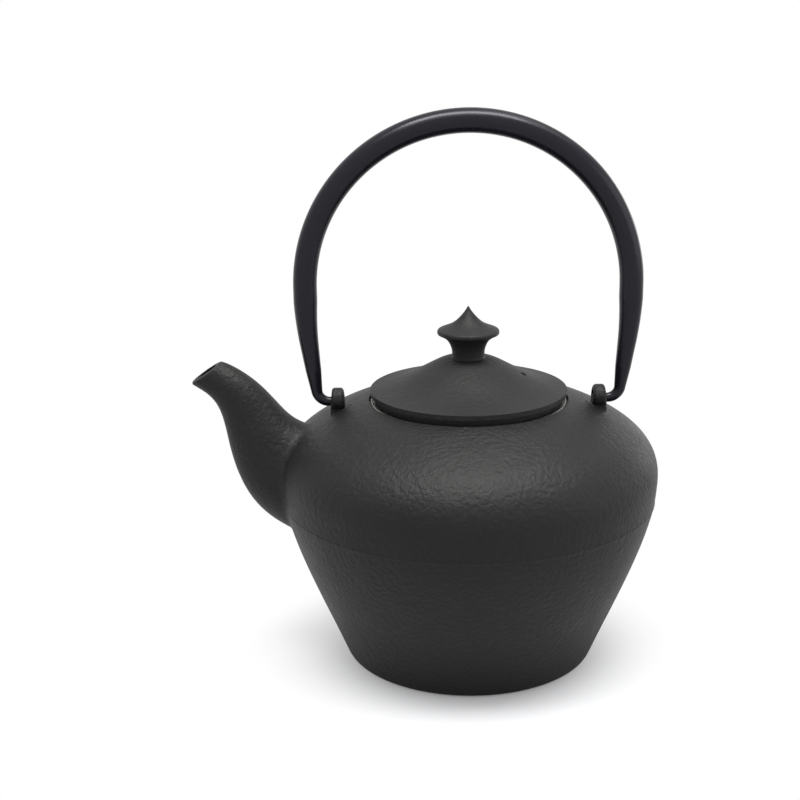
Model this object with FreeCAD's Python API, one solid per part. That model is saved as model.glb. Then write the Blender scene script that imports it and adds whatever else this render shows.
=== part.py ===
import FreeCAD, Part
import math
import os

from FreeCAD import Vector

# Cast iron teapot: a hollow body cast in one with its spout and two ears, a lift-off lid with a
# screwed-on pagoda knob, a stainless tea strainer that hangs in the mouth, and a hollow steel bail
# that swings about the ears. Millimetres, +Z up, origin at the centre of the foot, spout towards -X.

# ---- body casting: outline in radius and height ----
foot_radius = 49.0           # of the flat it stands on
heel_radius = 52.2           # where the rounded foot runs into the wall
heel_height = 3.0
heel_deg = 68.2              # headings: 0 points outward, 90 up
parting_height = 67.0        # mould line between the two halves of the casting
parting_inset = 0.9          # how far the mould line lies inside the belly
parting_deg = 78.3           # of the wall below the mould line
parting_upper_deg = 84.0     # of the wall above it
ridge_height = 1.8
ridge_proud = 0.12
belly_height = 78.1
belly_radius = 77.1
shoulder_height = 100.0
shoulder_width = 20.4        # from the mouth out to where the shoulder turns down
shoulder_deg = 151.0
mouth_height = 108.4
mouth_radius = 40.5
mouth_deg = 164.0
wall = 3.2
wall_fullness = 0.31         # how far each curve keeps to its end headings, of its length
belly_fullness = 0.385
curve_fullness = 0.34
corner_fullness = 0.4
floor_thickness = 4.0
floor_round = 9.0            # from the foot's edge to where the floor inside turns up

# ---- seat of the strainer and lid in the mouth ----
seat_depth = 1.6
seat_width = 4.0
seat_thickness = 3.4
seat_gap = 0.2               # between stacked rims that rest on each other

# ---- ears and the holes that the bail hooks into ----
ear_from_mouth = 12.6        # from the mouth's edge to the middle of an ear
ear_rise = 4.5               # middle of the eye above the shoulder
ear_radius = 4.8
ear_thickness = 5.4          # at the hole
ear_top_thickness = 4.6
ear_edge_round = 1.3
ear_neck = 7.2
ear_foot_round = 0.5         # hollow round between ear and shoulder
pin_radius = 1.9
pin_play = 0.95              # the hooks hang loose in their holes
pin_gap = 0.2                # between a hook and the bottom of its hole, where it rests

# ---- spout: sections from its mouth to inside the body ----
spout_wall = 2.4
spout_mouth_wall = 2.2
spout_root_round = 4.0       # hollow round between spout and body
spout_lip_round = 0.9        # outer edge of its mouth
spout_sections = [
    # upper edge: beyond the belly, above the belly; lower edge likewise; half width
    (22.9, 46.7, 35.5, 38.2, 5.4),
    (15.4, 43.1, 26.5, 31.2, 7.2),
    (8.9, 38.1, 23.2, 24.2, 8.6),
    (3.9, 33.0, 21.5, 16.1, 9.7),
    (-0.5, 27.8, 19.9, 7.9, 11.3),
    (-5.1, 23.1, 17.2, -1.1, 13.0),
    (-11.6, 19.5, 12.3, -10.7, 15.2),
    (-19.6, 17.5, 4.0, -19.3, 18.0),
    (-29.1, 15.4, -8.6, -26.6, 20.5),
]
spout_overrun = 4.0          # of the passage past the mouth, so that it opens cleanly
spout_solid_inset = 16.1     # from the belly's edge in to the plane where the spout's root starts
neck_section = 3             # place in the list of the section where the spout's neck starts

# ---- lid ----
lid_gap = 0.65               # between the lid's edge and the mouth
lid_edge_height = 4.1        # top of the lid's edge above the mouth
lid_edge_thickness = 1.9
lid_rise = 12.8              # flat at the knob above the lid's edge
lid_flat_radius = 7.2
lid_slope_radius = 16.5
lid_slope_drop = 3.5
lid_slope_deg = -29.0
lid_brim_deg = -9.0
lid_wall = 3.0
lid_roof_drop = 1.8          # underside at the skirt, below the top of the edge
lid_seat_inset = 1.65        # lid's seat inside its own edge
lid_skirt_wall = 2.2
lid_skirt_depth = 5.0
lid_skirt_gap = 0.8          # between the skirt and the strainer
vent_radius = 1.2
vent_distance = 22.3
vent_deg = -6.0

# ---- knob, its screw and washer ----
knob_outline = [
    # radius, height above the lid, heading of the outline going down
    (0.5, 20.6, -62),
    (2.8, 17.4, -50),
    (10.8, 12.1, -21),
    (12.5, 10.7, -90),
    (12.2, 9.8, -154),
    (7.3, 5.3, -112),
    (6.55, 1.2, -90),
    (6.9, 0.0, -60),
]
knob_height = 21.1
screw_radius = 2.0
screw_head_radius = 3.7
screw_head_height = 2.3
screw_head_round = 0.9
screw_reach = 7.0            # into the knob
screw_tip_chamfer = 0.5
screw_tip_gap = 1.0
screw_slot_width = 0.9
screw_slot_depth = 1.1
screw_gap = 0.1
drill_cone = 0.6             # depth of a drilled hole's cone, of the hole's radius
washer_radius = 5.4
washer_thickness = 1.0
washer_land = 1.3            # flat round the washer, under the lid

# ---- strainer ----
strainer_gap = 0.6           # in the mouth
strainer_sheet = 0.5
strainer_bead_radius = 0.45
strainer_bead_gap = 0.75     # between the rolled rim and the mouth's edge
strainer_depth = 46.0
collar_height = 9.0
mesh_thickness = 0.6
mesh_taper = 2.0             # narrower at its foot than at its top
mesh_grip = 3.0              # of the mesh that its collar holds
mesh_straight = 1.0          # below the collar, before the taper
mesh_foot_rise = 1.2         # above the basket's foot
mesh_fit = 0.05
base_ring_height = 3.0
base_ring_lip = 4.0
base_ring_gap = 0.15

# ---- bail ----
bail_overhang = 11.9         # from the middle of an ear out to the middle of the tube
bail_rise = 112.2           # crown's middle above the pins
bail_upright = 6.0           # straight stretch below the crown
bail_arc_share = 0.626       # of the leg between its upright and its hook, curved inward
crown_tube_radius = 4.9
leg_tube_radius = 4.75
tube_wall = 1.2
hook_joint_rise = 12.9       # where tube ends and hook begins, above the pins
hook_joint_radius = 3.15
hook_root_radius = 2.3
hook_bend_radius = 5.2
hook_ear_gap = 0.6
spigot_length = 8.0
spigot_gap = 0.05

# ---- places worked out from the sizes above ----
up = Vector(0, 0, 1)
centre = Vector(0, 0, 0)
same_place = 0.02            # points this close are the same point
halvings = 50                # of a range, to find a place in it
parting_radius = belly_radius - parting_inset
seat_height = mouth_height - seat_depth
bore_radius = mouth_radius - seat_width
flange_height = seat_height + seat_gap
flange_top = flange_height + strainer_sheet
lid_radius = mouth_radius - lid_gap
ear_span = mouth_radius + ear_from_mouth
bail_half_width = ear_span + bail_overhang
shoulder_radius = mouth_radius + shoulder_width
lid_edge_top = mouth_height + lid_edge_height
lid_edge_bottom = lid_edge_top - lid_edge_thickness
lid_seat_height = flange_top + seat_gap
lid_top = lid_edge_top + lid_rise
strainer_radius = bore_radius - strainer_gap
lid_skirt_radius = strainer_radius - strainer_sheet - lid_skirt_gap


def at(radius, height):
    """Point of an outline in the XZ plane."""
    return Vector(radius, 0, height)


def heading(degrees):
    """Direction of an outline: 0 points outward, 90 up."""
    turn = math.radians(degrees)
    return Vector(math.cos(turn), 0, math.sin(turn))


def line(start, end):
    return Part.LineSegment(start, end).toShape()


def bend(start, start_deg, end, end_deg, fullness=curve_fullness):
    """Smooth edge that leaves start at one heading and arrives at end at another."""
    handle = start.distanceToPoint(end) * fullness
    poles = [start, start + heading(start_deg) * handle, end - heading(end_deg) * handle, end]
    curve = Part.BezierCurve()
    curve.setPoles(poles)
    return curve.toShape()


def polyline(points):
    return [line(a, b) for a, b in zip(points, points[1:])]


def revolved(edges):
    """Solid made by turning a closed outline about the pot's axis, its seam at the back."""
    face = Part.Face(Part.Wire(Part.sortEdges(edges)[0]))
    face.rotate(centre, up, 90)
    return face.revolve(centre, up, 360)


def inset(point, degrees, distance):
    """Point moved inwards, square to the outline's heading."""
    return point + heading(degrees + 90) * distance


# ---------------------------------------------------------------------------------------------
# Body
# ---------------------------------------------------------------------------------------------

def wall_outline(depth):
    """Edges of the wall from above the foot to the mouth, at a depth under the outer skin."""
    heel = inset(at(heel_radius, heel_height), heel_deg, depth)
    parting = inset(at(parting_radius, parting_height), parting_deg, depth)
    belly = inset(at(belly_radius, belly_height), 90, depth)
    shoulder = inset(at(shoulder_radius, shoulder_height), shoulder_deg, depth)
    return [
        bend(heel, heel_deg, parting, parting_deg, wall_fullness),
        bend(parting, parting_upper_deg, belly, 90),
        bend(belly, 90, shoulder, shoulder_deg, belly_fullness),
    ]


def shoulder_outline(depth, end):
    shoulder = inset(at(shoulder_radius, shoulder_height), shoulder_deg, depth)
    return bend(shoulder, shoulder_deg, end, mouth_deg)


def outer_form():
    """The casting's outer skin as a full solid, without spout or ears."""
    mouth = at(mouth_radius, mouth_height)
    wall_edges = wall_outline(0)
    foot = at(foot_radius, 0)
    heel = wall_edges[0].valueAt(wall_edges[0].FirstParameter)
    edges = wall_edges + [
        line(at(0, 0), foot),
        bend(foot, 0, heel, heel_deg, corner_fullness),
        shoulder_outline(0, mouth),
        line(mouth, at(0, mouth_height)),
        line(at(0, mouth_height), at(0, 0)),
    ]
    return revolved(edges)


def mould_line():
    """Low ridge that the two mould halves leave round the casting."""
    half = ridge_height / 2
    crest = at(parting_radius + ridge_proud, parting_height)
    low = at(parting_radius - ridge_proud, parting_height - half)
    high = at(parting_radius, parting_height + half)
    root = parting_radius - wall / 2
    arc = Part.Arc(low, crest, high).toShape()
    return revolved([arc] + polyline([high, at(root, high.z), at(root, low.z), low]))


def cavity():
    """The space inside the pot, with the stepped seat at its mouth."""
    edges = wall_outline(wall)
    heel = edges[0].valueAt(edges[0].FirstParameter)
    floor_edge = at(foot_radius - floor_round, floor_thickness)
    lip = at(bore_radius, seat_height - seat_thickness)
    over = mouth_height + wall
    edges += [
        line(at(0, floor_thickness), floor_edge),
        bend(floor_edge, 0, heel, heel_deg, corner_fullness),
        shoulder_outline(wall, lip),
    ]
    edges += polyline([
        lip,
        at(bore_radius, seat_height),
        at(mouth_radius, seat_height),
        at(mouth_radius, over),
        at(0, over),
        at(0, floor_thickness),
    ])
    return revolved(edges)


def shoulder_at(radius):
    """Height of the outer skin above the belly at a radius."""
    mouth = at(mouth_radius, mouth_height)
    edge = wall_outline(0)[2] if radius > shoulder_radius else shoulder_outline(0, mouth)
    low, high = edge.ParameterRange
    for _ in range(halvings):
        middle = (low + high) / 2
        if edge.valueAt(middle).x > radius:
            low = middle
        else:
            high = middle
    return edge.valueAt(low).z


def ring(top, bottom, half_width, thickness):
    """Oval section between two points of its edges, less a wall thickness."""
    middle = (top + bottom) * 0.5
    half_height = (top - bottom) * 0.5
    half_height = half_height * (1 - thickness / half_height.Length)
    across = Vector(0, half_width - thickness, 0)
    points = []
    for turn in range(0, 360, 24):
        angle = math.radians(turn)
        points.append(middle + half_height * math.cos(angle) + across * math.sin(angle))
    curve = Part.BSplineCurve()
    curve.interpolate(Points=points, PeriodicFlag=True)
    return Part.Wire(curve.toShape())


def around(edge, point):
    """Whether a closed edge runs through a point."""
    return edge.isClosed() and edge.distToShape(Part.Vertex(point))[0] < same_place


def spout_point(reach, rise):
    return at(-belly_radius - reach, belly_height + rise)


def spout_form(inner):
    """The spout as a solid: its outside, or the passage inside it."""
    rings = []
    for number, (top_reach, top_rise, low_reach, low_rise, half_width) in enumerate(spout_sections):
        top = spout_point(top_reach, top_rise)
        bottom = spout_point(low_reach, low_rise)
        at_mouth = number == 0
        thickness = 0
        if inner:
            thickness = spout_mouth_wall if at_mouth else spout_wall
        if inner and at_mouth:
            next_top = spout_point(*spout_sections[1][0:2])
            over = (top - next_top).normalize() * spout_overrun
            rings.append(ring(top + over, bottom + over, half_width, thickness))
        rings.append(ring(top, bottom, half_width, thickness))
    form = Part.makeLoft(rings, True, False)
    if not inner:
        lip = spout_point(*spout_sections[0][0:2])
        form = form.makeFillet(spout_lip_round, [e for e in form.Edges if around(e, lip)])
    return form


def ear():
    """Rounded lug on the right shoulder: an eye on a narrower neck, thinner at its top."""
    foot_depth = ear_rise + wall
    swell = (ear_thickness - ear_top_thickness) / ear_radius
    foot_thickness = ear_thickness + swell * foot_depth
    inside = ear_span - foot_thickness / 2
    top = eye_height + ear_radius
    foot = eye_height - foot_depth
    eye = Part.makeCylinder(ear_radius, foot_thickness, Vector(inside, 0, eye_height), Vector(1, 0, 0))
    neck = Part.makeBox(foot_thickness, ear_neck, foot_depth, Vector(inside, -ear_neck / 2, foot))
    side_lines = [
        Vector(ear_span - foot_thickness / 2, -ear_radius, foot),
        Vector(ear_span + foot_thickness / 2, -ear_radius, foot),
        Vector(ear_span + ear_top_thickness / 2, -ear_radius, top),
        Vector(ear_span - ear_top_thickness / 2, -ear_radius, top),
    ]
    wedge = Part.Face(Part.makePolygon(side_lines + side_lines[:1])).extrude(Vector(0, 2 * ear_radius, 0))
    lug = eye.fuse(neck).removeSplitter().common(wedge)
    rims = [e for e in lug.Edges if e.BoundBox.XLength < ear_thickness / 2 and e.BoundBox.ZMax > foot + 0.1]
    return lug.makeFillet(ear_edge_round, rims)


def ear_hole():
    start = Vector(ear_span - ear_thickness, 0, eye_height)
    return Part.makeCylinder(pin_radius + pin_play, 2 * ear_thickness, start, Vector(1, 0, 0))


def other_side(shape):
    """The same shape on the pot's left."""
    return shape.mirror(centre, Vector(1, 0, 0))


eye_height = shoulder_at(ear_span) + ear_rise
pin_height = eye_height - (pin_play - pin_gap)


def on_skin(point):
    """Whether a point lies on the body's outer skin."""
    probe = Part.Vertex(at(math.hypot(point.x, point.y), point.z))
    outline = wall_outline(0) + [shoulder_outline(0, at(mouth_radius, mouth_height))]
    return min(edge.distToShape(probe)[0] for edge in outline) < same_place


def grown(form, limb, root_round):
    """The body with a limb cast on it, and a hollow round where they meet."""
    joined = form.fuse(limb)
    roots = []
    for edge in joined.Edges:
        middle = edge.valueAt(sum(edge.ParameterRange) / 2)
        if on_skin(middle) and limb.distToShape(Part.Vertex(middle))[0] < same_place:
            roots.append(edge)
    return joined.makeFillet(root_round, roots)


def casting():
    """Body, spout and ears, cast in one."""
    form = grown(outer_form(), ear(), ear_foot_round)
    form = grown(form, other_side(ear()), ear_foot_round)
    form = grown(form, spout_form(False), spout_root_round)
    form = form.fuse(mould_line())
    form = form.cut([cavity(), spout_form(True), ear_hole(), other_side(ear_hole())])
    return form.removeSplitter()


# The casting is kept as four simpler solids that meet face to face: the spout's neck, its root with
# the wall around it, and the rest of the bowl below the mould line and of the shoulder above it.

def neck_side():
    """Block around everything past the section where the spout's neck starts."""
    section = spout_sections[neck_section]
    middle = (spout_point(*section[0:2]) + spout_point(*section[2:4])) * 0.5
    along = (spout_point(*section[0:2]) - middle).normalize() * belly_radius
    outward = along.cross(Vector(0, 1, 0))
    across = Vector(0, belly_radius, 0)
    corners = [middle - along - across, middle + along - across]
    corners += [middle + along + across, middle - along + across]
    return Part.Face(Part.makePolygon(corners + corners[:1])).extrude(outward)


def spout_side():
    """Block around everything on the spout's side of the plane where its root starts."""
    reach = 4 * belly_radius
    plane = spout_solid_inset - belly_radius
    return Part.makeBox(reach, reach, reach, Vector(plane - reach, -reach / 2, -reach / 2))


def lower_side():
    """Block around everything below the mould line."""
    reach = 4 * belly_radius
    return Part.makeBox(reach, reach, reach, Vector(-reach / 2, -reach / 2, parting_height - reach))


# ---------------------------------------------------------------------------------------------
# Lid and knob
# ---------------------------------------------------------------------------------------------

def lid():
    edge = at(lid_radius, lid_edge_top)
    slope = at(lid_slope_radius, lid_top - lid_slope_drop)
    flat = at(lid_flat_radius, lid_top)
    seat_radius = lid_radius - lid_seat_inset
    under_flat = at(washer_radius + washer_land, lid_top - lid_wall)
    under_slope = inset(slope, lid_slope_deg + 180, lid_wall)
    skirt_inner = lid_skirt_radius - lid_skirt_wall
    skirt_foot = lid_seat_height - lid_skirt_depth
    under_edge = at(skirt_inner, lid_edge_top - lid_roof_drop)
    bore = screw_radius + screw_gap
    edges = [
        line(at(bore, lid_top), flat),
        bend(flat, 0, slope, lid_slope_deg),
        bend(slope, lid_slope_deg, edge, lid_brim_deg, corner_fullness),
        line(at(bore, lid_top - lid_wall), under_flat),
        bend(under_flat, 0, under_slope, lid_slope_deg),
        bend(under_slope, lid_slope_deg, under_edge, lid_brim_deg, corner_fullness),
        line(at(bore, lid_top), at(bore, lid_top - lid_wall)),
    ]
    edges += polyline([
        edge,
        at(lid_radius, lid_edge_bottom),
        at(seat_radius, lid_edge_bottom),
        at(seat_radius, lid_seat_height),
        at(lid_skirt_radius, lid_seat_height),
        at(lid_skirt_radius, skirt_foot),
        at(skirt_inner, skirt_foot),
        under_edge,
    ])
    turn = math.radians(vent_deg)
    place = Vector(vent_distance * math.cos(turn), vent_distance * math.sin(turn), lid_edge_bottom)
    vent = Part.makeCylinder(vent_radius, lid_rise, place, up)
    return revolved(edges).cut(vent)


def knob():
    tip = at(0, lid_top + knob_height)
    hole = screw_radius + screw_gap
    hole_top = lid_top + screw_reach + screw_tip_gap
    points = [(tip, 0)]
    points += [(at(radius, lid_top + height), deg) for radius, height, deg in knob_outline]
    foot = points[-1][0]
    edges = []
    for (start, start_deg), (end, end_deg) in zip(points, points[1:]):
        edges.append(bend(start, start_deg, end, end_deg, corner_fullness))
    edges += polyline([
        foot,
        at(hole, lid_top),
        at(hole, hole_top),
        at(0, hole_top + hole * drill_cone),
        tip,
    ])
    return revolved(edges)


def knob_washer():
    place = Vector(0, 0, lid_top - lid_wall - washer_thickness)
    plate = Part.makeCylinder(washer_radius, washer_thickness, place)
    hole = Part.makeCylinder(screw_radius + screw_gap, washer_thickness, place)
    return plate.cut(hole)


def knob_screw():
    """Slotted screw that holds the knob from inside the lid."""
    seat = lid_top - lid_wall - washer_thickness
    length = screw_reach + lid_wall + washer_thickness
    base = Vector(0, 0, seat - screw_head_height)
    head = Part.makeCylinder(screw_head_radius, screw_head_height, base)
    head = head.makeFillet(screw_head_round, [e for e in head.Edges if e.BoundBox.ZMax < seat - same_place])
    shank = Part.makeCylinder(screw_radius, length, Vector(0, 0, seat))
    tip_edges = [e for e in shank.Edges if e.BoundBox.ZMin > seat + length - same_place]
    shank = shank.makeChamfer(screw_tip_chamfer, tip_edges)
    corner = base - Vector(screw_head_radius, screw_slot_width / 2, 0)
    slot = Part.makeBox(2 * screw_head_radius, screw_slot_width, screw_slot_depth, corner)
    return head.fuse(shank).cut(slot).removeSplitter()


# ---------------------------------------------------------------------------------------------
# Strainer
# ---------------------------------------------------------------------------------------------

collar_foot = flange_top - collar_height
basket_foot = flange_top - strainer_depth
mesh_top_radius = strainer_radius - strainer_sheet - mesh_fit
mesh_foot_radius = mesh_top_radius - mesh_taper


def strainer_collar():
    """Pressed rim: a flange with a rolled edge, and the band that holds the mesh."""
    inner = strainer_radius - strainer_sheet
    bead_centre = mouth_radius - strainer_bead_gap - strainer_bead_radius
    edges = polyline([
        at(inner, flange_top),
        at(bead_centre, flange_top),
        at(bead_centre, flange_height),
        at(strainer_radius, flange_height),
        at(strainer_radius, collar_foot),
        at(inner, collar_foot),
        at(inner, flange_top),
    ])
    bead_place = Vector(0, 0, flange_height + strainer_bead_radius)
    bead = Part.makeTorus(bead_centre, strainer_bead_radius, bead_place)
    return revolved(edges).fuse(bead).removeSplitter()


def strainer_wall():
    """Woven mesh cylinder, held inside the collar and the base ring."""
    top = collar_foot + mesh_grip
    taper_start = collar_foot - mesh_straight
    foot = basket_foot + mesh_foot_rise
    edges = polyline([
        at(mesh_top_radius, top),
        at(mesh_top_radius, taper_start),
        at(mesh_foot_radius, foot),
        at(mesh_foot_radius - mesh_thickness, foot),
        at(mesh_top_radius - mesh_thickness, taper_start),
        at(mesh_top_radius - mesh_thickness, top),
        at(mesh_top_radius, top),
    ])
    return revolved(edges)


def strainer_base_ring():
    """Channel ring that joins the mesh wall to the mesh floor."""
    outside = mesh_foot_radius + base_ring_gap + strainer_sheet
    inside = outside - base_ring_lip
    edges = polyline([
        at(outside, basket_foot),
        at(outside, basket_foot + base_ring_height),
        at(outside - strainer_sheet, basket_foot + base_ring_height),
        at(outside - strainer_sheet, basket_foot + strainer_sheet),
        at(inside, basket_foot + strainer_sheet),
        at(inside, basket_foot),
        at(outside, basket_foot),
    ])
    return revolved(edges)


def strainer_floor():
    """Flat mesh disc on the base ring, inside the mesh wall."""
    radius = mesh_foot_radius - mesh_thickness - mesh_fit
    return Part.makeCylinder(radius, mesh_thickness, Vector(0, 0, basket_foot + strainer_sheet + mesh_fit))


# ---------------------------------------------------------------------------------------------
# Bail
# ---------------------------------------------------------------------------------------------

hook_start = ear_span + ear_thickness / 2 + hook_ear_gap
crown_centre = pin_height + bail_rise - bail_half_width
upright_foot = crown_centre - bail_upright
joint_height = pin_height + hook_joint_rise
straight_top = upright_foot - (upright_foot - joint_height) * bail_arc_share


def bend_reach(lean):
    """How far the hook's bend reaches from where its two straight ends would meet."""
    return hook_bend_radius * math.tan((math.pi / 2 - lean) / 2)


def leg_shift(lean):
    """How far inward a leg that leans in by an angle brings the start of its hook."""
    curved = (upright_foot - straight_top) * math.tan(lean / 2)
    straight = (straight_top - pin_height) * math.tan(lean)
    return curved + straight + bend_reach(lean)


def leg_lean():
    """Lean that brings the leg's foot to its hook."""
    low = 0.0
    high = math.pi / 4
    for _ in range(halvings):
        middle = (low + high) / 2
        if leg_shift(middle) < bail_half_width - hook_start:
            low = middle
        else:
            high = middle
    return low


lean = leg_lean()
lean_direction = Vector(math.sin(lean), 0, math.cos(lean))
pin_corner = Vector(hook_start + bend_reach(lean), 0, pin_height)
bend_top = pin_corner + lean_direction * bend_reach(lean)
bend_foot = Vector(hook_start, 0, pin_height)
lean_top = Vector(bail_half_width, 0, upright_foot)
lean_foot = pin_corner + lean_direction * ((straight_top - pin_height) / math.cos(lean))
lean_radius = (upright_foot - straight_top) / math.sin(lean)
joint_point = pin_corner + lean_direction * (hook_joint_rise / math.cos(lean))


def disc(point, direction, radius):
    """Round section square to the path, its seam always on the same side."""
    side = Vector(0, 1, 0)
    circle = Part.makeCircle(radius)
    turn = FreeCAD.Rotation(side, direction.cross(side), direction, "ZXY")
    circle.Placement = FreeCAD.Placement(point, turn)
    return Part.Wire(circle)


def round_bar(edge, start_radius, end_radius):
    """Round bar along one line or arc, its radius changing evenly."""
    first, last = edge.ParameterRange
    sweep = Part.BRepOffsetAPI.MakePipeShell(Part.Wire([edge]))
    sweep.add(disc(edge.valueAt(first), edge.tangentAt(first), start_radius), False, False)
    sweep.add(disc(edge.valueAt(last), edge.tangentAt(last), end_radius), False, False)
    sweep.build()
    sweep.makeSolid()
    return sweep.shape()


def arc(start, end, middle):
    """Arc from start to end about a middle point."""
    halfway = ((start - middle) + (end - middle)).normalize() * (start - middle).Length
    return Part.Arc(start, middle + halfway, end).toShape()


def leg_radius(height):
    """Outer radius of a leg, tapering evenly from below the crown to the hook's joint."""
    share = (lean_top.z - height) / (lean_top.z - joint_point.z)
    return leg_tube_radius + (hook_joint_radius - leg_tube_radius) * share


def handle_form(thinner):
    """The bail from joint to joint over the crown, less a wall thickness."""
    crown_middle = Vector(0, 0, crown_centre)
    crown_side = Vector(bail_half_width, 0, crown_centre)
    crown_top = Vector(0, 0, crown_centre + bail_half_width)
    lean_middle = lean_top - Vector(lean_radius, 0, 0)
    stretches = [
        (line(joint_point, lean_foot), hook_joint_radius, leg_radius(lean_foot.z)),
        (arc(lean_foot, lean_top, lean_middle), leg_radius(lean_foot.z), leg_tube_radius),
        (line(lean_top, crown_side), leg_tube_radius, leg_tube_radius),
        (arc(crown_side, crown_top, crown_middle), leg_tube_radius, crown_tube_radius),
    ]
    bars = [round_bar(edge, start - thinner, end - thinner) for edge, start, end in stretches]
    bars += [other_side(bar) for bar in bars]
    return bars[0].fuse(bars[1:]).removeSplitter()


def handle_tube():
    return handle_form(0).cut(handle_form(tube_wall))


def handle_hook(side):
    """Solid end of the bail: spigot in the tube, tapering bend, and the pin in the ear."""
    pin_tip = Vector(ear_span - ear_thickness / 2, 0, pin_height)
    bend_middle = bend_foot + up * hook_bend_radius
    pin = round_bar(line(pin_tip, bend_foot), pin_radius, pin_radius)
    turn = round_bar(arc(bend_foot, bend_top, bend_middle), pin_radius, hook_root_radius)
    leg = round_bar(line(bend_top, joint_point), hook_root_radius, hook_joint_radius)
    spigot = Part.makeCylinder(
        hook_joint_radius - tube_wall - spigot_gap, spigot_length + hook_joint_radius,
        joint_point - lean_direction * hook_joint_radius, lean_direction,
    )
    hook = pin.fuse([turn, leg, spigot])
    if side < 0:
        hook = other_side(hook)
    return hook


iron = casting()
iron_round = iron.cut(spout_side())
iron_spout = iron.common(spout_side())

pieces = {
    "pot_bowl": lambda: iron_round.common(lower_side()),
    "pot_shoulder": lambda: iron_round.cut(lower_side()),
    "pot_spout_root": lambda: iron_spout.cut(neck_side()),
    "pot_spout_neck": lambda: iron_spout.common(neck_side()),
    "lid": lid,
    "knob": knob,
    "knob_washer": knob_washer,
    "knob_screw": knob_screw,
    "strainer_collar": strainer_collar,
    "strainer_wall": strainer_wall,
    "strainer_base_ring": strainer_base_ring,
    "strainer_floor": strainer_floor,
    "handle_tube": handle_tube,
    "handle_hook_left": lambda: handle_hook(-1),
    "handle_hook_right": lambda: handle_hook(1),
}

os.makedirs("parts", exist_ok=True)
for name, build in pieces.items():
    shape = Part.makeCompound(build().Solids)
    shape.exportStep("parts/" + name + ".step")
    print(name, "solids", len(shape.Solids), "valid", shape.isValid(), "volume", round(shape.Volume, 1))
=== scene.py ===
import math

import bmesh
import bpy
from mathutils import Matrix, Vector


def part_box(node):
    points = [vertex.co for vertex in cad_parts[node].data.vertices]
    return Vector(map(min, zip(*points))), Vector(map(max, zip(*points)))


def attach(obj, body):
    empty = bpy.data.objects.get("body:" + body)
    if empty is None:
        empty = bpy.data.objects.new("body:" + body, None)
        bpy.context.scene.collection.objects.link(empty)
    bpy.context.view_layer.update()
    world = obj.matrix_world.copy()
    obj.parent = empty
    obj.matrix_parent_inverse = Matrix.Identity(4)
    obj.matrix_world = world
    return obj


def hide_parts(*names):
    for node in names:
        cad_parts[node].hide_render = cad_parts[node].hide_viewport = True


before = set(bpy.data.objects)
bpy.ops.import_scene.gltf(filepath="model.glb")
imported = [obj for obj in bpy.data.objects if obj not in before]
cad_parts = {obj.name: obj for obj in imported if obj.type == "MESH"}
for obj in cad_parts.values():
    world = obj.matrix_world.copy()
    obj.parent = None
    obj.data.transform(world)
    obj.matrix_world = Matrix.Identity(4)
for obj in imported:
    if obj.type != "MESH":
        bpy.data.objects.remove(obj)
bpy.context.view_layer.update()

scene = bpy.context.scene


# ---------------------------------------------------------------------------------------------
# Helpers
# ---------------------------------------------------------------------------------------------

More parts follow.
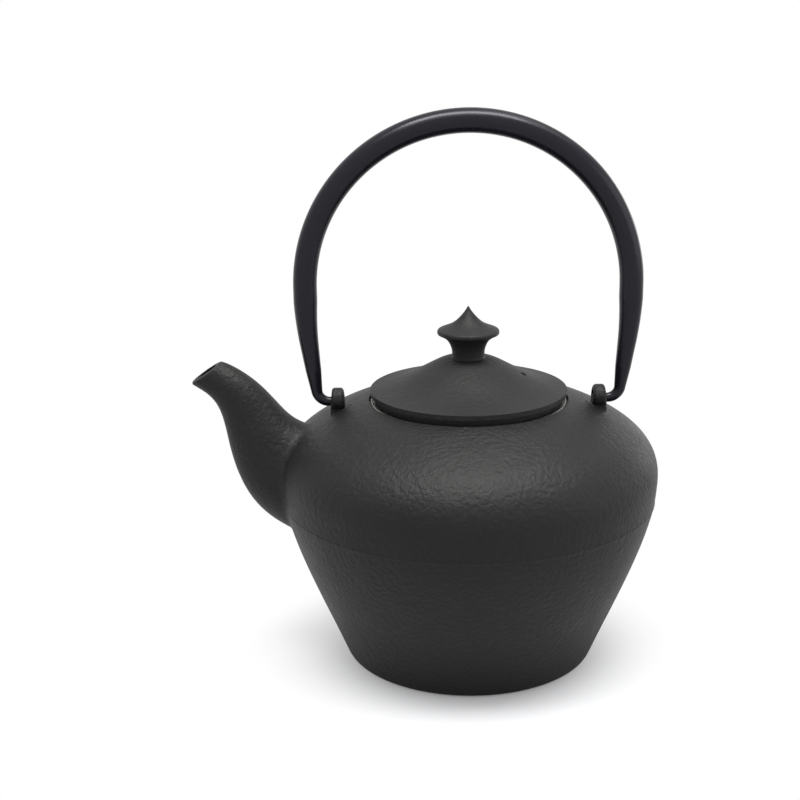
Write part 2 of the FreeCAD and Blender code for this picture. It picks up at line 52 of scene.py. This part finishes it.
class Tree:
    """Node tree of a material or a world, with short calls for the nodes used here."""

    def __init__(self, owner):
        owner.use_nodes = True
        self.owner = owner
        self.tree = owner.node_tree
        self.tree.nodes.clear()
        coordinates = self.add("ShaderNodeTexCoord")
        self.place = coordinates.outputs["Object"]
        self.facing = coordinates.outputs["Normal"]

    def add(self, kind, **settings):
        """New node with its settings."""
        node = self.tree.nodes.new(kind)
        for key, value in settings.items():
            setattr(node, key, value)
        return node

    def feed(self, socket, value):
        """Link another node's output to a socket, or set the socket to a plain value."""
        if isinstance(value, bpy.types.NodeSocket):
            self.tree.links.new(value, socket)
        else:
            socket.default_value = value

    def math(self, operation, *values):
        node = self.add("ShaderNodeMath", operation=operation)
        for socket, value in zip(node.inputs, values):
            self.feed(socket, value)
        return node.outputs[0]

    def vector(self, operation, *values):
        node = self.add("ShaderNodeVectorMath", operation=operation)
        for socket, value in zip(node.inputs, values):
            self.feed(socket, value)
        is_number = operation in ("DOT_PRODUCT", "LENGTH", "DISTANCE")
        return node.outputs["Value" if is_number else "Vector"]

    def scaled(self, vector, factor):
        node = self.add("ShaderNodeVectorMath", operation="SCALE")
        self.feed(node.inputs[0], vector)
        self.feed(node.inputs["Scale"], factor)
        return node.outputs["Vector"]

    def split(self, vector):
        """X, Y and Z of a vector."""
        node = self.add("ShaderNodeSeparateXYZ")
        self.feed(node.inputs[0], vector)
        return node.outputs

    def from_axis(self):
        """Vector to here from the nearest point of the pot's axis."""
        return self.vector("MULTIPLY", self.place, (1.0, 1.0, 0.0))

    def noise(self, size, place=None, detail=2.0, rough=0.5, colour=False, shift=(0.0, 0.0, 0.0)):
        """Noise whose marks are about size metres across."""
        node = self.add("ShaderNodeTexNoise")
        self.feed(node.inputs["Vector"], self.vector("ADD", place or self.place, shift))
        self.feed(node.inputs["Scale"], 1.0 / size)
        self.feed(node.inputs["Detail"], detail)
        self.feed(node.inputs["Roughness"], rough)
        return node.outputs["Color" if colour else "Fac"]

    def span(self, value, low, high, to_low=0.0, to_high=1.0):
        """Value from low to high, turned into one from to_low to to_high, and no further."""
        node = self.add("ShaderNodeMapRange", clamp=True)
        for key, number in (("Value", value), ("From Min", low), ("From Max", high),
                            ("To Min", to_low), ("To Max", to_high)):
            self.feed(node.inputs[key], number)
        return node.outputs["Result"]

    def vary(self, noise, low=0.0, high=1.0):
        """Noise's usual range, turned into one from low to high."""
        return self.span(noise, 0.3, 0.7, low, high)

    def mix(self, factor, first, second):
        """Mix of two colours."""
        node = self.add("ShaderNodeMix", data_type="RGBA")
        self.feed(node.inputs["Factor"], factor)
        colours = [socket for socket in node.inputs if socket.type == "RGBA"]
        for socket, colour in zip(colours, (first, second)):
            self.feed(socket, colour)
        return [socket for socket in node.outputs if socket.type == "RGBA"][0]

    def bump(self, height, depth, normal=None):
        """Bump whose height runs from 0 to depth metres."""
        node = self.add("ShaderNodeBump")
        self.feed(node.inputs["Height"], height)
        self.feed(node.inputs["Distance"], depth)
        if normal:
            self.feed(node.inputs["Normal"], normal)
        return node.outputs["Normal"]

    def seen(self):
        """1 for rays that show the studio itself: to the camera, in a gloss or through glass."""
        rays = self.add("ShaderNodeLightPath").outputs
        either = self.math("MAXIMUM", rays["Is Camera Ray"], rays["Is Glossy Ray"])
        return self.math("MAXIMUM", either, rays["Is Transmission Ray"])

    def show(self, shader, output="ShaderNodeOutputMaterial"):
        """Link a shader to the tree's output."""
        self.feed(self.add(output).inputs["Surface"], shader.outputs[0])

    def surface(self, **values):
        """Principled surface on a material's output."""
        shader = self.add("ShaderNodeBsdfPrincipled")
        for key, value in values.items():
            self.feed(shader.inputs[key.replace("_", " ")], value)
        self.show(shader)
        return self.owner


def mesh_object(name, model, material):
    """Object of a mesh that is built, in the scene."""
    mesh = bpy.data.meshes.new(name)
    model.to_mesh(mesh)
    model.free()
    mesh.materials.append(material)
    item = bpy.data.objects.new(name, mesh)
    scene.collection.objects.link(item)
    return item


# ---------------------------------------------------------------------------------------------
# Materials
# ---------------------------------------------------------------------------------------------

# The enamel lies on the faces that look to the pot's axis, under the mouth and within the belly.
# The ears and the spout have such faces too, which lie beyond both neck_reach and neck_height.
enamel_top = 0.1034
enamel_reach = 0.0735
neck_reach = 0.064
neck_height = 0.092
enamel_floor_top = 0.03            # the floor inside lies below this height
inward = -0.05                     # a face looks to the axis where its cosine to the way out is less
upward = 0.5                       # a face looks up where its normal's Z is more
enamel_roughness = 0.17
enamel_peel = 0.00008              # depth of its slight orange peel

iron_ior = 1.305
wave_depth = 0.0005
grain_share = 0.3                  # depth of the sandy grain, of the crinkled skin's
matt_foot = (0.03, 0.008)          # heights between which the skin turns matter towards the foot
matt_foot_roughness = 0.14

lacquer_ior = 1.32
lacquer_dark = (0.0052, 0.0051, 0.0076, 1.0)
lacquer_light = (0.0072, 0.0071, 0.0103, 1.0)
lacquer_gloss_tint = (0.91, 0.91, 1.0, 1.0)
lacquer_peel = 0.000012
lacquer_waves = 0.00012

roll_stretch = 0.0015              # metres of the noise for a radian round the axis
roll_depth = 0.000006


def grey(value, warmth=0.0):
    """Colour of a given level, neutral at warmth 0 and brownish at 1."""
    return (value * (1 + 0.12 * warmth), value, value * (1 - 0.16 * warmth), 1.0)


def inside_pot(t):
    """1 on the wall and floor inside the pot, up to under its mouth, and 0 on its outside."""
    height = t.split(t.place)["Z"]
    from_axis = t.from_axis()
    reach = t.vector("LENGTH", from_axis)
    outward = t.vector("DOT_PRODUCT", t.facing, t.vector("NORMALIZE", from_axis))
    below = t.math("LESS_THAN", height, neck_height)
    wall = t.math("MAXIMUM", t.math("LESS_THAN", reach, neck_reach), below)
    for value, limit in ((outward, inward), (height, enamel_top), (reach, enamel_reach)):
        wall = t.math("MULTIPLY", wall, t.math("LESS_THAN", value, limit))
    floor = t.math("MULTIPLY", t.math("GREATER_THAN", t.split(t.facing)["Z"], upward),
                   t.math("LESS_THAN", height, enamel_floor_top))
    return t.math("MAXIMUM", wall, floor)


def iron(name, tone, depth, roughness, shift, body=False):
    """Black lacquered cast iron, with the fine crinkled skin of a sand mould.

    The body is enamelled inside and turns matter towards its foot.
    """
    t = Tree(bpy.data.materials.new(name))
    warp = t.noise(0.005, detail=1.0, colour=True, shift=shift)
    warped = t.vector("ADD", t.place, t.scaled(warp, 0.002))
    crinkle = t.noise(0.0019, place=warped, detail=1.5, shift=shift)
    grain = t.noise(0.00055, rough=0.6, shift=shift)
    waves = t.noise(0.016, detail=1.0, shift=shift)
    patches = t.noise(0.03, detail=3.0, rough=0.6, shift=shift)

    plain = t.mix(t.vary(patches), grey(tone * 0.86), grey(tone * 1.12))
    worn = t.math("MULTIPLY", t.span(crinkle, 0.45, 0.7), 0.35)
    colour = t.mix(worn, plain, grey(tone * 1.5, 0.1))

    rough = t.math("ADD", t.vary(patches, roughness - 0.03, roughness + 0.04), t.vary(grain, -0.03, 0.03))
    skin = crinkle
    sand = grain
    bumps = None
    if body:
        enamel = inside_pot(t)
        bare = t.math("SUBTRACT", 1.0, enamel)
        skin = t.math("MULTIPLY", crinkle, bare)
        sand = t.math("MULTIPLY", grain, bare)
        bumps = t.bump(t.math("MULTIPLY", t.noise(0.0035, detail=1.0), enamel), enamel_peel)
        foot = t.span(t.split(t.place)["Z"], *matt_foot, 0.0, matt_foot_roughness)
        rough = t.math("ADD", rough, foot)
        rough = t.math("SUBTRACT", rough, t.math("MULTIPLY", enamel, roughness - enamel_roughness))
    bumps = t.bump(waves, wave_depth, bumps)
    bumps = t.bump(skin, depth, bumps)
    bumps = t.bump(sand, depth * grain_share, bumps)
    return t.surface(Base_Color=colour, Roughness=rough, Normal=bumps, IOR=iron_ior)


def lacquer(name):
    """Satin black lacquer, sprayed on a steel tube."""
    t = Tree(bpy.data.materials.new(name))
    patches = t.noise(0.025)
    dust = t.noise(0.0004)
    bumps = t.bump(t.noise(0.0016, detail=1.0), lacquer_peel)
    bumps = t.bump(t.noise(0.02, detail=1.0), lacquer_waves, bumps)
    colour = t.mix(patches, lacquer_dark, lacquer_light)
    rough = t.math("ADD", t.vary(patches, 0.20, 0.25), t.span(dust, 0.35, 0.65, -0.02, 0.03))
    return t.surface(Base_Color=colour, Roughness=rough, Normal=bumps, IOR=lacquer_ior,
                     Specular_Tint=lacquer_gloss_tint)


def steel(name, roughness, tone=0.62):
    """Stainless sheet or wire, with fine rolling marks round the pot's axis."""
    t = Tree(bpy.data.materials.new(name))
    x, y, z = t.split(t.place)
    turned = t.add("ShaderNodeCombineXYZ")
    t.feed(turned.inputs["X"], t.vector("LENGTH", t.from_axis()))
    t.feed(turned.inputs["Y"], t.math("MULTIPLY", t.math("ARCTAN2", y, x), roll_stretch))
    t.feed(turned.inputs["Z"], z)
    marks = t.noise(0.0002, place=turned.outputs[0], detail=3.0)
    clouds = t.noise(0.008, detail=3.0)
    colour = t.mix(clouds, grey(tone * 0.9, 0.15), grey(tone, 0.2))
    rough = t.math("ADD", t.vary(clouds, roughness - 0.04, roughness + 0.06), t.vary(marks, -0.03, 0.05))
    return t.surface(Base_Color=colour, Roughness=rough, Metallic=1.0, Normal=t.bump(marks, roll_depth))


body_iron = iron("body_iron", tone=0.007, depth=0.00040, roughness=0.51, shift=(0.0, 0.0, 0.0), body=True)
lid_iron = iron("lid_iron", tone=0.010, depth=0.00024, roughness=0.58, shift=(0.31, 0.12, 0.0))
knob_iron = iron("knob_iron", tone=0.010, depth=0.00016, roughness=0.54, shift=(0.11, 0.43, 0.0))
handle_paint = lacquer("handle_paint")
# The collar and base ring take a darker steel than the wire cloth: painted shade for the seat under the
# lid, where the collar's rim shows as a thin line in the gap.
strainer_steel = steel("strainer_steel", roughness=0.40, tone=0.36)
strainer_mesh = steel("strainer_mesh", roughness=0.30)
fastener_steel = steel("fastener_steel", roughness=0.34, tone=0.55)

finishes = {
    body_iron: ("pot_bowl", "pot_shoulder", "pot_spout_root", "pot_spout_neck"),
    lid_iron: ("lid",),
    knob_iron: ("knob",),
    fastener_steel: ("knob_washer", "knob_screw"),
    strainer_steel: ("strainer_collar", "strainer_base_ring"),
    strainer_mesh: ("strainer_wall", "strainer_floor"),
    handle_paint: ("handle_tube", "handle_hook_left", "handle_hook_right"),
}
for material, names in finishes.items():
    for name in names:
        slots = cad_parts[name].data.materials
        slots.clear()
        slots.append(material)


# ---------------------------------------------------------------------------------------------
# Strainer's woven wire
# ---------------------------------------------------------------------------------------------

wire_radius = 0.00014
wire_pitch = 0.0015
weave = 0.00014                    # how far a wire's middle leaves the cloth's, each way
mesh_edge = 0.0003                 # from a sheet's face to the middle of the cloth
floor_gap = 0.00005                # between the floor's edge and the wall's cloth
collar_gap = 0.001                 # from the collar's edge down to where the taper starts
up = Vector((0.0, 0.0, 1.0))


def wire(model, points, closed=False):
    """Square-section wire along points, each given with two directions square to the wire."""
    rings = []
    for point, side, out in points:
        corners = (side + out, out - side, -side - out, side - out)
        rings.append([model.verts.new(point + corner * wire_radius) for corner in corners])
    following = rings[1:] + rings[:1] if closed else rings[1:]
    for first, second in zip(rings, following):
        for k in range(4):
            model.faces.new((first[k], first[k - 1], second[k - 1], second[k]))
    if not closed:
        model.faces.new(rings[0])
        model.faces.new(rings[-1][::-1])


def wire_piece(name, model, node):
    """Piece of wire cloth that stands for a node of the strainer."""
    bmesh.ops.recalc_face_normals(model, faces=model.faces)
    for face in model.faces:
        face.smooth = True
    piece = mesh_object(name, model, strainer_mesh)
    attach(piece, "strainer")
    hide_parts(node)


def basket_wall():
    """Woven cylinder: straight inside the collar, then tapering to the basket's foot."""
    (_, _, foot), (outer, _, top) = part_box("strainer_wall")
    taper_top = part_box("strainer_collar")[0][2] - collar_gap
    foot_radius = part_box("strainer_floor")[1][0] + mesh_edge + floor_gap
    top_radius = outer - mesh_edge

    def place(turn, height, sway):
        """Point of the cloth and the direction out of it."""
        share = min(1.0, max(0.0, (height - foot) / (taper_top - foot)))
        radius = foot_radius + (top_radius - foot_radius) * share + sway
        out = Vector((math.cos(turn), math.sin(turn), 0.0))
        return out * radius + up * height, out

    rows = int((top - foot) / wire_pitch)
    count = 2 * round(math.pi * (top_radius + foot_radius) / wire_pitch / 2)
    model = bmesh.new()
    for column in range(count):
        points = []
        for half_row in range(2 * rows + 1):
            height = foot + wire_pitch * (half_row + 1) / 2
            sway = weave * math.cos(math.pi * (half_row / 2 + column))
            point, out = place(math.tau * column / count, height, sway)
            if height < top - wire_radius:
                points.append((point, up.cross(out), out))
        wire(model, points)
    for row in range(rows):
        points = []
        for half_column in range(2 * count):
            sway = -weave * math.cos(math.pi * (half_column / 2 + row))
            point, out = place(math.pi * half_column / count, foot + wire_pitch * (row + 0.5), sway)
            points.append((point, up, out))
        wire(model, points, closed=True)
    wire_piece("strainer_wall_wires", model, "strainer_wall")


def basket_floor():
    """Flat woven disc."""
    low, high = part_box("strainer_floor")
    radius = high[0]
    middle = (low[2] + high[2]) / 2
    reach = int(radius / wire_pitch)
    x_way = Vector((1.0, 0.0, 0.0))
    y_way = Vector((0.0, 1.0, 0.0))
    model = bmesh.new()
    for along, across, sign in ((x_way, y_way, 1.0), (y_way, x_way, -1.0)):
        for row in range(-reach, reach + 1):
            half = math.sqrt(max(0.0, (radius - wire_radius) ** 2 - (row * wire_pitch) ** 2))
            steps = int(half / wire_pitch * 2)
            if steps < 2:
                continue
            points = []
            for step in range(-steps, steps + 1):
                sway = sign * weave * math.cos(math.pi * (step / 2 + row))
                point = along * (step * wire_pitch / 2) + across * (row * wire_pitch) + up * (middle + sway)
                points.append((point, across, up))
            wire(model, points)
    wire_piece("strainer_floor_wires", model, "strainer_floor")


basket_wall()
basket_floor()


# ---------------------------------------------------------------------------------------------
# Studio
# ---------------------------------------------------------------------------------------------

floor_radius = 6.0
floor_colour = (0.79, 0.80, 0.825, 1.0)
# Middle of the floor's painted white glow, 14 mm in front of the pot's axis, so the painted lightening
# leaves the shadow darker in front of the foot than beside and behind it.
fade_middle = (0.0, -0.014, 0.0)
floor_fade = (0.034, 0.096, 0.1, 1.0)    # white from 10% at 34 mm from the fade's middle to all at 96 mm
room_level = 0.45                        # strength of the room as a light; seen and mirrored it is 1
pot_middle = Vector((0.0, 0.0, 0.1))
lamp_colour = (1.0, 0.99, 0.975)
lamps = (                                # name, place, width and height, radiance
    ("top_box", (0.08, -0.14, 1.0), (1.3, 0.62), 2.4),
    ("top_core", (0.01, -0.17, 0.98), (0.72, 0.28), 15.5),
    ("right_box", (0.9, -0.3, 0.35), (0.7, 0.6), 1.2),
    ("back_box", (0.75, 0.8, 0.18), (0.7, 0.3), 1.8),
)

sensor_width = 36.0
lens = 66.47
camera_place = (-0.02868, -0.57715, 0.2763)
camera_turn = -0.085                     # degrees, to the right of straight ahead where negative
camera_dip = 16.283                      # degrees below level
camera_roll = -0.825                     # degrees, clockwise where negative
nearest_seen = 0.05


def studio_floor():
    """White table whose paper takes the pot's shadow; for camera, gloss and transmission rays a glowing
    white is mixed in with distance from fade_middle, painted light that lifts the shadow away from the foot
    and melts the table into the white of the studio.
    """
    t = Tree(bpy.data.materials.new("floor"))
    # Share of painted white glow over the paper: little near fade_middle and more further out, so the pot's
    # shadow is painted lighter away from the foot.
    painted_white_share = t.span(t.vector("DISTANCE", t.place, fade_middle), *floor_fade)
    paper = t.add("ShaderNodeBsdfDiffuse")
    t.feed(paper.inputs["Color"], floor_colour)
    white = t.add("ShaderNodeEmission")
    mix = t.add("ShaderNodeMixShader")
    t.feed(mix.inputs[0], t.math("MULTIPLY", painted_white_share, t.seen()))
    t.feed(mix.inputs[1], paper.outputs[0])
    t.feed(mix.inputs[2], white.outputs[0])
    t.show(mix)
    model = bmesh.new()
    bmesh.ops.create_circle(model, cap_ends=True, radius=floor_radius, segments=128)
    mesh_object("floor", model, t.owner)


def studio_world():
    """White room, which the surfaces mirror as white and which lights them more dimly."""
    scene.world = bpy.data.worlds.new("studio")
    t = Tree(scene.world)
    light = t.add("ShaderNodeBackground")
    t.feed(light.inputs["Color"], (1.0, 1.0, 1.0, 1.0))
    t.feed(light.inputs["Strength"], t.span(t.seen(), 0.0, 1.0, room_level, 1.0))
    t.show(light, "ShaderNodeOutputWorld")


def soft_box(name, place, size, radiance):
    """Rectangular area light of a given radiance, aimed at the pot's middle."""
    data = bpy.data.lights.new(name, "AREA")
    data.color = lamp_colour
    data.shape = "RECTANGLE"
    data.size, data.size_y = size
    data.energy = radiance * math.pi * size[0] * size[1]
    light = bpy.data.objects.new(name, data)
    scene.collection.objects.link(light)
    light.location = place
    light.rotation_euler = (pot_middle - Vector(place)).to_track_quat("-Z", "Y").to_euler()


def camera():
    """Camera in front of the pot, a little above it."""
    data = bpy.data.cameras.new("camera")
    data.sensor_width = sensor_width
    data.lens = lens
    data.clip_start = nearest_seen
    item = bpy.data.objects.new("camera", data)
    scene.collection.objects.link(item)
    turn = Matrix.Rotation(math.radians(camera_turn), 4, "Z")
    tilt = Matrix.Rotation(math.radians(90.0 - camera_dip), 4, "X")
    roll = Matrix.Rotation(math.radians(camera_roll), 4, "Z")
    item.matrix_world = Matrix.Translation(camera_place) @ turn @ tilt @ roll
    scene.camera = item


studio_floor()
studio_world()
for lamp in lamps:
    soft_box(*lamp)
camera()
scene.view_settings.view_transform = "Standard"
